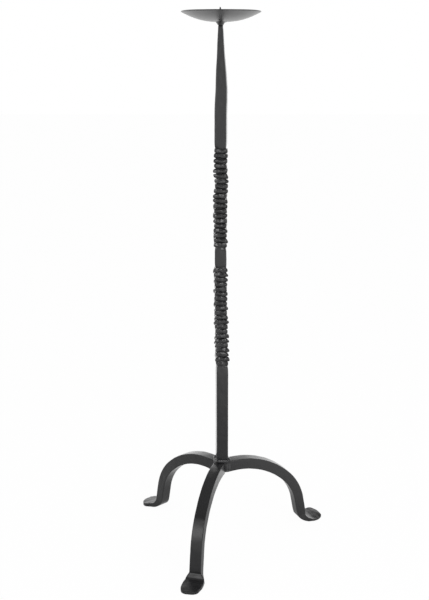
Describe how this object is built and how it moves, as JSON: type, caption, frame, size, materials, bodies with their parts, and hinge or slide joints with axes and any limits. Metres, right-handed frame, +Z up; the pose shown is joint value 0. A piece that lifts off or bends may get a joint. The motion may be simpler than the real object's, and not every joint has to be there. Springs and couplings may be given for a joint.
{
  "type": "torchere candle stand",
  "caption": "Floor-standing forged candle stand: square column with chiselled bands, shallow drip pan with a pricket, and three arched legs with flattened feet.",
  "frame": {"origin": "on the floor, straight under the axis of the column", "axes": "+Z up along the column; +X to the right and +Y to the back as seen in the picture; the front leg points 15 degrees to the left of -Y"},
  "size_m": [0.3584, 0.3665, 0.9506],
  "materials": {
    "forged_iron": "hammered bar steel with a satin black wax finish",
    "pan_iron": "dished sheet steel with a satin black wax finish",
    "weld_iron": "weld metal, brushed and blackened with the rest"
  },
  "bodies": {
    "root": {"column": "forged_iron", "drip_pan": "pan_iron", "pan_weld": "weld_iron", "leg_front": "forged_iron", "leg_right": "forged_iron", "leg_left": "forged_iron", "weld_front": "weld_iron", "weld_right": "weld_iron", "weld_left": "weld_iron"}
  },
  "joints": []
}
